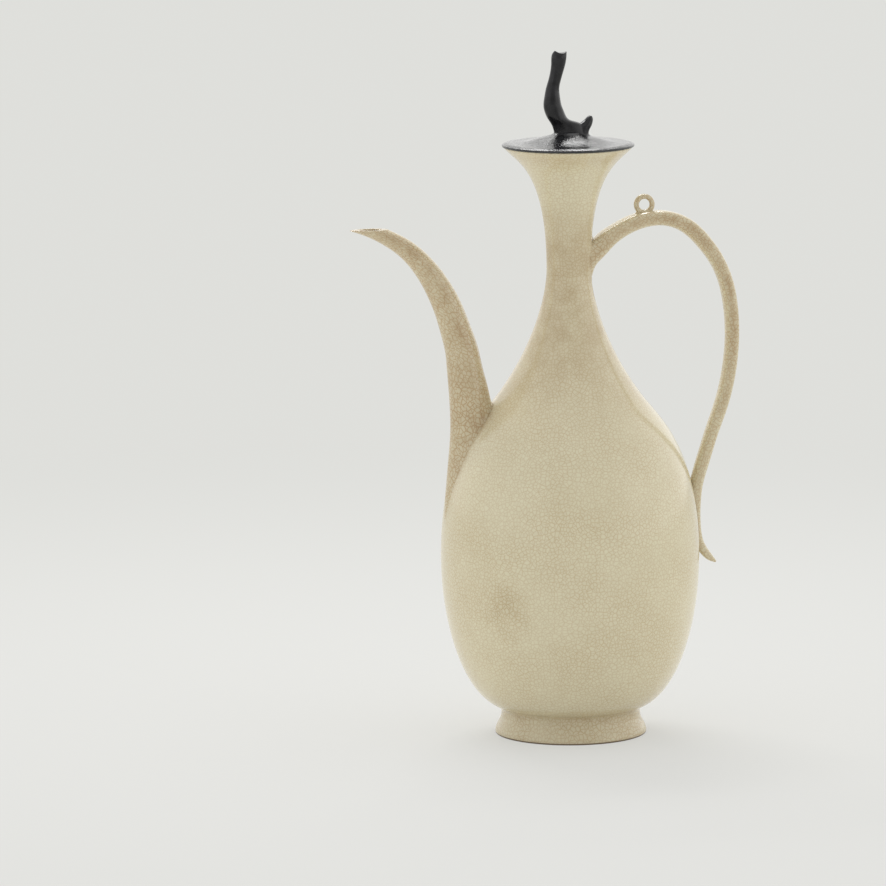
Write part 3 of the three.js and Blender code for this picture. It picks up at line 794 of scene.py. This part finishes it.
# handle stations: out from the neck at its upper seat, then out from the belly at its lower seat
handleForm = {
    "topSeat": 222.0, "lowSeat": 102.5, "flow": 3.0, "sink": 0.4, "pool": 1.1, "rows": 420, "sides": 72,
    # band and the ramp after it set the painted shade down the handle's broad sides
    "band": (0.0, 0.5, 0.15), "shadeBand": ((0, 0.55, 0.85), (1, 0.9, 0.3)), "under": 2.5,
    "square": ((0.0, 0.3, 0.45, 1.0), (3.4, 3.4, 2.6, 2.4)),
    "widen": ((0.02, 0.1, 0.3, 0.5, 0.7), (1.0, 1.1, 1.12, 1.07, 1.0)),
    "arch": [
        (-8, -7.5, 7.2, 5), (-5.2, -3.6, 6.6, 5.4), (-1.8, 0.6, 5.2, 5.4), (3.1, 5, 4.6, 5), (8.1, 9.7, 4.3, 4.8),
        (13.1, 13.1, 3.9, 4.7), (19.6, 16.4, 3.8, 4.6), (26.6, 18.3, 3.6, 4.6), (34.6, 18.6, 3.5, 4.6),
        (45.1, 15, 3.6, 4.6), (53.4, 7.4, 3.6, 4.5), (60.1, -2, 3.4, 4.4), (64.2, -11.5, 3.3, 4.4),
        (66.3, -21, 3.3, 4.3), (67.4, -35, 3.2, 4.3),
    ],
    "fall": [
        (16.9, 65.7, 3.2, 4.2), (15, 56.3, 3.2, 4.1), (12.2, 47, 3.2, 4), (8.8, 37.6, 3.1, 4), (5.8, 28.3, 3.1, 3.9),
        (2.9, 19, 3.1, 3.8), (1.2, 12, 2.9, 3.8), (0.7, 5.5, 2.6, 3.6), (0.7, 0, 2.3, 3.4), (1, -5.5, 2.1, 3.2),
        (1.5, -10.5, 2, 3), (2.6, -15, 2, 2.7), (5, -19.6, 2, 2.4), (8.2, -23, 1.4, 1.7), (10.4, -24.6, 0.5, 0.7),
    ],
}


def handlePiece(form):
    run = coursed(seated(form["arch"], form["topSeat"]) + seated(form["fall"], form["lowSeat"]), form["rows"])
    places = np.linspace(0, 1, form["rows"])
    run[:, 3] *= np.interp(places, *form["widen"])
    square = np.interp(places, *form["square"])[:, None]
    rings, facing, cosine = ovalRings(run, form["sides"], square, form["under"])
    skin, pooling = luted(rings, facing, -cosine, form["flow"], form["sink"])
    # painted shade: a darker band down the handle's broad sides, strongest near the upper seat and fading towards the
    # lower one
    warmth = np.interp(places, *form["shadeBand"])[:, None] * shadeBandShare(cosine, form["band"])
    piece = skinned("handle_glazed", skin, np.maximum(pooling, warmth), strapGlaze, form["sides"] // 4)
    return piece, skin, facing


handle, strapSkin, strapFacing = handlePiece(handleForm)
print("swept pieces: spout, handle")


# the pot's wall swells a little and its glaze pools along the spout and the handle
seams = [(spoutSkin, spoutFacing, spoutForm["pool"]), (strapSkin, strapFacing, handleForm["pool"])]


def wallFlow(piece, flow):
    points = rowsOf(piece)
    gap, facing = potGap(points)
    outside = gap > joinForm["wall"]
    pooling, lift = np.zeros(len(points)), np.zeros(len(points))
    for skin, ways, reach in seams:
        flat, normals = skin.reshape(-1, 3), ways.reshape(-1, 3)
        clear = potGap(flat)[0] > joinForm["skin"]
        flat, normals = flat[clear], normals[clear]
        tree = KDTree(len(flat))
        for i, point in enumerate(flat):
            tree.insert(point, i)
        tree.balance()
        low, high = flat.min(0) - flow, flat.max(0) + flow
        for i in np.flatnonzero(outside & (points > low).all(1) & (points < high).all(1)):
            _, near, away = tree.find(points[i])
            if away < max(flow, reach * joinForm["search"]):
                slant = 1 - max(0.0, float(normals[near] @ facing[i])) ** 2
                lift[i] = max(lift[i], flow * joinForm["swell"] * max(0.0, 1 - away / flow) ** 2 * slant)
                pooling[i] = max(pooling[i], bell(away, reach) * min(1.0, slant * joinForm["slant"]))
    setRows(piece, points + facing * lift[:, None])
    return points[:, 2], pooling


def wallPoolAndShade(piece, heights, *shares):
    # the glaze is also warmer where it ran thick down the thin neck
    neck = potForm["warmShare"] * np.interp(heights, *potForm["warmHeights"])
    storePoolAndShade(piece, np.maximum.reduce([*shares, neck]))


heights, pooling = wallFlow(bodyWall, spoutForm["flow"])
# the belly is darker along the crease where it meets the foot: pooled glaze and painted shade
wallPoolAndShade(bodyWall, heights, pooling, bell(heights - outline[0, 1], potForm["grooveReach"]) * potForm["groovePoolAndShade"])
heights, pooling = wallFlow(neckWall, handleForm["flow"])
wallPoolAndShade(neckWall, heights, pooling)
heights = rowsOf(mouthWall)[:, 2]
rimLevel = potForm["rim"] - potForm["rimDrop"]
wallPoolAndShade(mouthWall, heights, potForm["rimPool"] * bell(rimLevel - heights, potForm["rimReach"]))
# the foot's top, at that same crease, is darker too: pooled glaze and painted shade
footTop = bell(footForm["height"] + 1 - rowsOf(footRing)[:, 2], footForm["topReach"])
storePoolAndShade(footRing, footForm["pool"] + footForm["topPoolAndShade"] * footTop)
for piece in (footRing, bodyWall, neckWall, mouthWall):
    layTurnedNet(piece)
print("glaze flow and crackle map: body, neck, mouth, foot")


# cord ring: a coil of clay on the crest of the handle, its ends pressed out into two small feet with a bridge between
ringForm = {
    "share": 0.18, "sink": 1.4, "radius": 4.95, "hole": 2.5, "width": 1.6, "rows": 96, "sides": 32, "voxel": 0.16,
    "smooth": 6, "foot": [(2.1, -2.9, 0.9, 1.2), (2.9, -4.1, 1.2, 1.6), (3.6, -5.9, 1.4, 2.1)], "footRows": 20,
    "bridge": [(0, -3.4, 1.9, 1.1), (0, -4.4, 2.2, 1.2)], "bridgeRows": 6, "lumpSides": 24,
    "warmth": 0.5, "pool": 0.3, "poolRise": 1.2, "poolReach": 0.9,
}


def fused(name, meshes, voxel, passes, glaze):
    # several closed lumps of clay worked into one
    whole = bmesh.new()
    for mesh in meshes:
        whole.from_mesh(mesh)
    lumps = bpy.data.meshes.new(name + "Lumps")
    whole.to_mesh(lumps)
    whole.free()
    faceOutwards(lumps)
    source = addObject(name + "Lumps", lumps)
    knead = source.modifiers.new("knead", "REMESH")
    knead.mode = "VOXEL"
    knead.voxel_size = voxel * mm
    stroke = source.modifiers.new("stroke", "SMOOTH")
    stroke.factor = 0.5
    stroke.iterations = passes
    piece = baked(name, source)
    piece.data.materials.clear()
    piece.data.materials.append(glaze)
    piece.data.shade_smooth()
    return piece


def ringPlace(form):
    # the handle's stations are counted as the solid counts them, so the share is taken on the station numbers
    stations = np.array(seated(handleForm["arch"], handleForm["topSeat"]))
    at = form["share"] * (len(handleForm["arch"]) + len(handleForm["fall"]) - 3) + 2
    x, z, thick = (np.interp(at, np.arange(len(stations)), stations[:, i]) for i in range(3))
    return np.array((x, 0, z + thick + form["radius"] - form["sink"]))


def cordRingPiece(form):
    centre = ringPlace(form)
    middle, tube = (form["radius"] + form["hole"]) / 2, (form["radius"] - form["hole"]) / 2
    turns, around = roundTurn(form["rows"])[:, None], roundTurn(form["sides"])[None, :]
    radius = middle + tube * np.cos(around)
    width = form["width"] * np.sin(around) + 0 * turns
    coil = np.stack((radius * np.cos(turns), width, radius * np.sin(turns)), axis=2).reshape(-1, 3) + centre
    lumps = [plainMesh("coil", coil, gridFaces(form["rows"], form["sides"], closed=True))]
    for side, part, rows in ((-1, "foot", "footRows"), (1, "foot", "footRows"), (1, "bridge", "bridgeRows")):
        stations = [(centre[0] + side * out, centre[2] + up, thick, wide) for out, up, thick, wide in form[part]]
        lumps.append(tubeMesh(part, ovalRings(coursed(stations, form[rows]), form["lumpSides"])[0]))
    piece = fused("cord_ring_glazed", lumps, form["voxel"], form["smooth"], strapGlaze)
    heights = rowsOf(piece)[:, 2]
    footPool = bell(heights - heights.min() - form["poolRise"], form["poolReach"])
    storePoolAndShade(piece, form["warmth"] + form["pool"] * footPool)
    layNet(piece, np.zeros(len(heights)), heights, np.ones(len(heights)), flatFrom=None)
    return piece


cordRing = cordRingPiece(ringForm)

# finial: a flame-like blade and its horn. Each station holds x and z of the left edge and of the right edge in the
# middle plane, from the middle of the lid's crown, and the half width
finialForm = {
    "stem": [
        (-9.6, -1.7, 13, -2.7, 7.8), (-7.4, -0.9, 11, -1.4, 6), (-6.7, 0, 9.7, -0.3, 5.1), (-6.8, 1.6, 8.7, 2.2, 4.7),
        (-7.8, 4.4, 4.8, 5.2, 4.4), (-9.6, 7.2, 0.3, 6.8, 4.3), (-11.2, 11.1, -1.9, 10.4, 4),
        (-11.5, 14.3, -3.2, 13.9, 3.8), (-11.0, 17.8, -3.8, 17.5, 3.4), (-10.4, 21, -4.1, 20.6, 3),
        (-9.2, 25, -3.5, 24.2, 2.7), (-8.3, 28.8, -2.4, 28, 2.6), (-7.8, 33.3, -1.1, 32.5, 2.8),
        (-7.4, 37, -0.6, 35.9, 2.8), (-6.1, 38.7, -0.5, 38.3, 2.2),
    ],
    "horn": [
        (3.6, -0.4, 9.6, -0.4, 3.8), (4.0, 2.4, 10.1, 1.7, 3.6), (5.6, 4.7, 11.2, 3.7, 3.1), (7.6, 6.1, 11.7, 5.6, 2.4),
        (8.9, 7.4, 11.7, 7.1, 1.9), (9.9, 8.2, 11.3, 8.0, 1.1),
    ],
    "stemRows": 90, "stemSides": 48, "hornRows": 30, "hornSides": 32, "voxel": 0.2, "smooth": 12,
    "scoop": 1.0, "scoopRows": 6, "capShares": (0.75, 0.5, 0.25),
}


def bladeRings(stations, count, sides):
    rows = np.array(stations, float)
    knots = lengthsAlong((rows[:, :2] + rows[:, 2:4]) / 2)
    run = smoothThrough(knots, rows, np.linspace(0, knots[-1], count))
    angle = roundTurn(sides)
    left, right = run[:, None, :2], run[:, None, 2:4]
    flat = (left + right) / 2 + (left - right) / 2 * np.cos(angle)[None, :, None]
    return np.stack((flat[:, :, 0], run[:, 4:5] * np.sin(angle)[None, :], flat[:, :, 1]), axis=2)


def finialPiece(form):
    # the blade's end is scooped between its two tips
    crown = np.array((potAxis, 0, potForm["rim"] + lidForm["crown"]))
    stem = bladeRings(form["stem"], form["stemRows"], form["stemSides"])
    lean = np.sin(roundTurn(form["stemSides"])) ** 2
    for back in range(form["scoopRows"]):
        stem[-1 - back, :, 2] -= form["scoop"] * (1 - back / form["scoopRows"]) * lean
    middle = stem[-1].mean(0)
    caps = []
    for share in form["capShares"]:
        ring = middle + (stem[-1] - middle) * share
        ring[:, 2] -= form["scoop"] * (1 - share)
        caps.append(ring)
    stem = np.concatenate((stem, np.array(caps)))
    horn = bladeRings(form["horn"], form["hornRows"], form["hornSides"])
    lumps = [tubeMesh("stem", stem + crown), tubeMesh("horn", horn + crown)]
    return fused("finial_glazed", lumps, form["voxel"], form["smooth"], finialGlaze)


finial = finialPiece(finialForm)
print("modelled pieces: cord ring, finial")

for piece, nodes, body, slot in (
    (footRing, ["foot_ring"], "pot", "cream_glaze"), (bodyWall, ["body", "shoulder"], "pot", "cream_glaze"),
    (neckWall, ["neck"], "pot", "cream_glaze"), (mouthWall, ["mouth"], "pot", "cream_glaze"),
    (spout, ["spout"], "pot", "cream_glaze"), (handle, ["handle"], "pot", "cream_glaze"),
    (cordRing, ["cord_ring"], "pot", "cream_glaze"), (lidFlange, ["lid_flange"], "lid_guide", "black_glaze"),
    (lidPlate, ["lid_plate"], "lid_top", "black_glaze"), (finial, ["finial"], "lid_top", "satin_black_glaze"),
):
    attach(piece, body)
    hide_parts(*nodes)


# stage
stage = {
    "floorColour": (0.72, 0.721, 0.716), "bounceColour": (0.86, 0.86, 0.84), "farColour": (0.738, 0.740, 0.712),
    "radius": 7.0, "sides": 96, "nearFade": 0.12, "farFade": 0.9, "nearShare": 0.64,
}


def mixedSurface(tree, output, share, first, second):
    mix = nodeIn(tree, "ShaderNodeMixShader")
    for socket, source in zip(mix.inputs, (share, first, second)):
        tree.links.new(source, socket)
    tree.links.new(mix.outputs[0], tree.nodes[output].inputs["Surface"])


def floorPiece(look):
    # matt paper that fades into the backdrop's colour away from the ewer, where it is seen and not where it bounces
    mesh = bpy.data.meshes.new("studioFloor")
    edge = [(look["radius"] * math.cos(way), look["radius"] * math.sin(way), 0.0) for way in roundTurn(look["sides"])]
    mesh.from_pydata(edge, [], [tuple(range(look["sides"]))])
    floor = addObject("studioFloor", mesh)
    paper = bpy.data.materials.new("studioPaper")
    paper.use_nodes = True
    tree = paper.node_tree
    tree.nodes.remove(tree.nodes["Principled BSDF"])
    reach = vectorMaths(tree, "LENGTH", nodeIn(tree, "ShaderNodeTexCoord").outputs["Object"])
    far = mapped(tree, reach, look["nearFade"], look["farFade"], look["nearShare"], 1.0)
    rays = nodeIn(tree, "ShaderNodeLightPath").outputs
    seen = maths(tree, "MAXIMUM", rays["Is Camera Ray"], rays["Is Glossy Ray"])
    seen = maths(tree, "MAXIMUM", seen, rays["Is Transmission Ray"])
    matt = nodeIn(tree, "ShaderNodeBsdfDiffuse")
    feed(tree, matt.inputs["Color"], blended(tree, rays["Is Camera Ray"], look["bounceColour"], look["floorColour"]))
    glow = nodeIn(tree, "ShaderNodeEmission")
    feed(tree, glow.inputs["Color"], look["farColour"])
    mixedSurface(tree, "Material Output", maths(tree, "MULTIPLY", far, seen), matt.outputs[0], glow.outputs[0])
    mesh.materials.append(paper)


# the room round the ewer: how bright each side is, and along which axis and between which shares it sets in
room = {
    "front": 0.53, "back": 1.10, "left": 0.98, "right": 1.34, "above": 0.89,
    "sides": (("back", "Y", -0.7, 0.5), ("left", "X", -0.25, -0.85), ("right", "X", 0.25, 0.85),
              ("above", "Z", 0.35, 0.9)),
    "tint": (1.0, 0.996, 0.980), "strength": 1.03,
}


def studioWorld(look, seenColour):
    world = bpy.data.worlds.new("studioWorld")
    world.use_nodes = True
    tree = world.node_tree
    light = tree.nodes["Background"]
    ways = separated(tree, "XYZ", nodeIn(tree, "ShaderNodeTexCoord").outputs["Generated"])
    level = look["front"]
    for side, axis, start, end in look["sides"]:
        level = mapped(tree, ways[axis], start, end, level, look[side])
    feed(tree, light.inputs["Color"], look["tint"])
    feed(tree, light.inputs["Strength"], maths(tree, "MULTIPLY", level, look["strength"]))
    plain = nodeIn(tree, "ShaderNodeBackground")
    feed(tree, plain.inputs["Color"], seenColour)
    cameraRay = nodeIn(tree, "ShaderNodeLightPath").outputs["Is Camera Ray"]
    mixedSurface(tree, "World Output", cameraRay, light.outputs[0], plain.outputs[0])
    scene.world = world


floorPiece(stage)
studioWorld(room, stage["farColour"])

overheadLight = {
    "at": (-0.1, 1.35, 1.75), "aim": (0.0, 0.0, 0.2), "size": (1.5, 0.42), "watts": 20.0, "tint": (1.0, 0.995, 0.985),
}


def placeLight(form):
    lamp = bpy.data.lights.new("overhead", "AREA")
    lamp.shape = "RECTANGLE"
    lamp.size, lamp.size_y = form["size"]
    lamp.energy = form["watts"]
    lamp.color = form["tint"]
    light = addObject("overhead", lamp)
    light.location = form["at"]
    light.rotation_euler = (Vector(form["aim"]) - Vector(form["at"])).to_track_quat("-Z", "Y").to_euler()


placeLight(overheadLight)

# camera: turned against the spout's plane, tipped down and a trace off level
cameraForm = {
    "focalPixels": 7000.0, "imagePixels": 886.0, "sensor": 36.0, "clip": (0.1, 30.0),
    "turn": 11.0, "pitch": 8.7, "roll": 0.42, "place": (-58.865, -3220.552, 629.721),
}


def placeCamera(form):
    turn, pitch, roll = (math.radians(form[k]) for k in ("turn", "pitch", "roll"))
    x, y, z = form["place"]
    forward = Vector((math.sin(turn) * math.cos(pitch), math.cos(turn) * math.cos(pitch), -math.sin(pitch)))
    right = Vector((math.cos(turn), -math.sin(turn), 0))
    up = right.cross(forward)
    tiltedUp = up * math.cos(roll) + right * math.sin(roll)
    tiltedRight = right * math.cos(roll) - up * math.sin(roll)
    turnedX, turnedY = x * math.cos(turn) + y * math.sin(turn), -x * math.sin(turn) + y * math.cos(turn)
    lens = bpy.data.cameras.new("studioCamera")
    lens.sensor_width = form["sensor"]
    lens.lens = form["sensor"] * form["focalPixels"] / form["imagePixels"]
    lens.clip_start, lens.clip_end = form["clip"]
    camera = addObject("studioCamera", lens)
    axes = Matrix((tiltedRight, tiltedUp, -forward)).transposed().to_4x4()
    camera.matrix_world = Matrix.Translation(Vector((turnedX + potAxis, turnedY, z)) * mm) @ axes
    scene.camera = camera


placeCamera(cameraForm)
scene.view_settings.view_transform = "Standard"
print("camera and studio ready")
